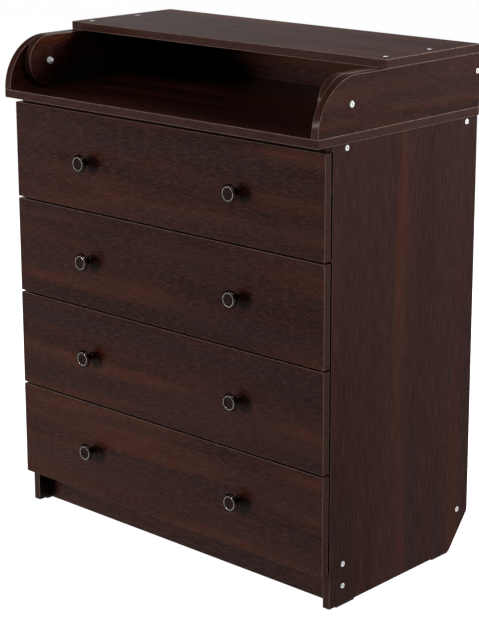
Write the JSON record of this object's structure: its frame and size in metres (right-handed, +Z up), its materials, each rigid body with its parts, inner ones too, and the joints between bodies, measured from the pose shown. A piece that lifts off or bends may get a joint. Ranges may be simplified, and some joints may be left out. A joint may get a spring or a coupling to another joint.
{
  "type": "changing dresser",
  "caption": "Dark wood-effect dresser with full-width drawers under a changing tray whose lid flips forward on pivots to lengthen the changing surface.",
  "frame": {"origin": "on the floor, at the middle of the overall width and depth", "axes": "+X to the right seen from the front, +Y from the drawer fronts towards the back, +Z up"},
  "size_m": [0.8076, 0.459, 0.9823],
  "materials": {
    "wenge_laminate": "satin dark wenge wood-effect laminate with matching banded edges",
    "fibreboard": "thin dark-faced fibreboard, matt",
    "zinc_steel": "zinc-plated steel screws, bolts and cams",
    "runner_steel": "off-white epoxy-coated pressed steel",
    "roller_nylon": "white nylon",
    "glide_plastic": "dark brown moulded plastic",
    "knob_bronze": "dark antique bronze with a polished ring on the face"
  },
  "bodies": {
    "carcass": {"side_panel_left": "wenge_laminate", "side_panel_right": "wenge_laminate", "plinth_board": "wenge_laminate", "top_rail_front": "wenge_laminate", "top_rail_rear": "wenge_laminate", "lower_rear_rail": "wenge_laminate", "back_panel": "fibreboard", "carcass_confirmats": "zinc_steel", "carcass_wood_screws": "zinc_steel", "floor_glides": "glide_plastic", "deck_board": "wenge_laminate", "tray_side_left": "wenge_laminate", "tray_side_right": "wenge_laminate", "tray_back": "wenge_laminate", "pivot_bolts_and_nuts": "zinc_steel", "cabinet_runners": "runner_steel"},
    "lid": {"lid_panel": "wenge_laminate", "lid_side_left": "wenge_laminate", "lid_confirmats": "zinc_steel", "lid_side_right": "wenge_laminate"},
    "drawer_1": {"drawer_1_runners": "runner_steel", "drawer_1_fasteners": "zinc_steel", "drawer_1_front": "wenge_laminate", "drawer_1_side_right": "wenge_laminate", "drawer_1_side_left": "wenge_laminate", "drawer_1_back": "wenge_laminate", "drawer_1_bottom": "fibreboard", "drawer_1_knobs": "knob_bronze"},
    "front_rollers_1": {"front_rollers_1": "roller_nylon"},
    "drawer_1_rear_rollers": {"drawer_1_rear_rollers": "roller_nylon"},
    "drawer_2": {"drawer_2_runners": "runner_steel", "drawer_2_fasteners": "zinc_steel", "drawer_2_front": "wenge_laminate", "drawer_2_side_right": "wenge_laminate", "drawer_2_side_left": "wenge_laminate", "drawer_2_back": "wenge_laminate", "drawer_2_bottom": "fibreboard", "drawer_2_knobs": "knob_bronze"},
    "front_rollers_2": {"front_rollers_2": "roller_nylon"},
    "drawer_2_rear_rollers": {"drawer_2_rear_rollers": "roller_nylon"},
    "drawer_3": {"drawer_3_runners": "runner_steel", "drawer_3_fasteners": "zinc_steel", "drawer_3_front": "wenge_laminate", "drawer_3_side_right": "wenge_laminate", "drawer_3_side_left": "wenge_laminate", "drawer_3_back": "wenge_laminate", "drawer_3_bottom": "fibreboard", "drawer_3_knobs": "knob_bronze"},
    "front_rollers_3": {"front_rollers_3": "roller_nylon"},
    "drawer_3_rear_rollers": {"drawer_3_rear_rollers": "roller_nylon"},
    "drawer_4": {"drawer_4_runners": "runner_steel", "drawer_4_fasteners": "zinc_steel", "drawer_4_front": "wenge_laminate", "drawer_4_side_right": "wenge_laminate", "drawer_4_side_left": "wenge_laminate", "drawer_4_back": "wenge_laminate", "drawer_4_bottom": "fibreboard", "drawer_4_knobs": "knob_bronze"},
    "front_rollers_4": {"front_rollers_4": "roller_nylon"},
    "drawer_4_rear_rollers": {"drawer_4_rear_rollers": "roller_nylon"}
  },
  "joints": [
    {"name": "drawer_1_slide", "type": "slide", "parent": "carcass", "child": "drawer_1", "axis": [0, -1, 0], "range_m": [0, 0.27]},
    {"name": "drawer_1_front_roller_spin", "type": "hinge", "parent": "carcass", "child": "front_rollers_1", "pos_m": [0, -0.1735, 0.7108], "axis": [1, 0, 0], "range_deg": [0, 2390]},
    {"name": "drawer_1_rear_roller_spin", "type": "hinge", "parent": "drawer_1", "child": "drawer_1_rear_rollers", "pos_m": [0, 0.1515, 0.709], "axis": [1, 0, 0], "range_deg": [0, 2390]},
    {"name": "drawer_2_slide", "type": "slide", "parent": "carcass", "child": "drawer_2", "axis": [0, -1, 0], "range_m": [0, 0.27]},
    {"name": "drawer_2_front_roller_spin", "type": "hinge", "parent": "carcass", "child": "front_rollers_2", "pos_m": [0, -0.1735, 0.5178], "axis": [1, 0, 0], "range_deg": [0, 2390]},
    {"name": "drawer_2_rear_roller_spin", "type": "hinge", "parent": "drawer_2", "child": "drawer_2_rear_rollers", "pos_m": [0, 0.1515, 0.516], "axis": [1, 0, 0], "range_deg": [0, 2390]},
    {"name": "drawer_3_slide", "type": "slide", "parent": "carcass", "child": "drawer_3", "axis": [0, -1, 0], "range_m": [0, 0.27]},
    {"name": "drawer_3_front_roller_spin", "type": "hinge", "parent": "carcass", "child": "front_rollers_3", "pos_m": [0, -0.1735, 0.3248], "axis": [1, 0, 0], "range_deg": [0, 2390]},
    {"name": "drawer_3_rear_roller_spin", "type": "hinge", "parent": "drawer_3", "child": "drawer_3_rear_rollers", "pos_m": [0, 0.1515, 0.323], "axis": [1, 0, 0], "range_deg": [0, 2390]},
    {"name": "drawer_4_slide", "type": "slide", "parent": "carcass", "child": "drawer_4", "axis": [0, -1, 0], "range_m": [0, 0.27]},
    {"name": "drawer_4_front_roller_spin", "type": "hinge", "parent": "carcass", "child": "front_rollers_4", "pos_m": [0, -0.1735, 0.1318], "axis": [1, 0, 0], "range_deg": [0, 2390]},
    {"name": "drawer_4_rear_roller_spin", "type": "hinge", "parent": "drawer_4", "child": "drawer_4_rear_rollers", "pos_m": [0, 0.1515, 0.13], "axis": [1, 0, 0], "range_deg": [0, 2390]},
    {"name": "lid_hinge", "type": "hinge", "parent": "carcass", "child": "lid", "pos_m": [0, -0.1405, 0.9163], "axis": [1, 0, 0], "range_deg": [0, 180]}
  ],
  "couplings": [
    {"joint": "drawer_1_front_roller_spin", "follows": "drawer_1_slide", "rad_per_m": 153.85},
    {"joint": "drawer_1_rear_roller_spin", "follows": "drawer_1_slide", "rad_per_m": 153.85},
    {"joint": "drawer_2_front_roller_spin", "follows": "drawer_2_slide", "rad_per_m": 153.85},
    {"joint": "drawer_2_rear_roller_spin", "follows": "drawer_2_slide", "rad_per_m": 153.85},
    {"joint": "drawer_3_front_roller_spin", "follows": "drawer_3_slide", "rad_per_m": 153.85},
    {"joint": "drawer_3_rear_roller_spin", "follows": "drawer_3_slide", "rad_per_m": 153.85},
    {"joint": "drawer_4_front_roller_spin", "follows": "drawer_4_slide", "rad_per_m": 153.85},
    {"joint": "drawer_4_rear_roller_spin", "follows": "drawer_4_slide", "rad_per_m": 153.85}
  ]
}
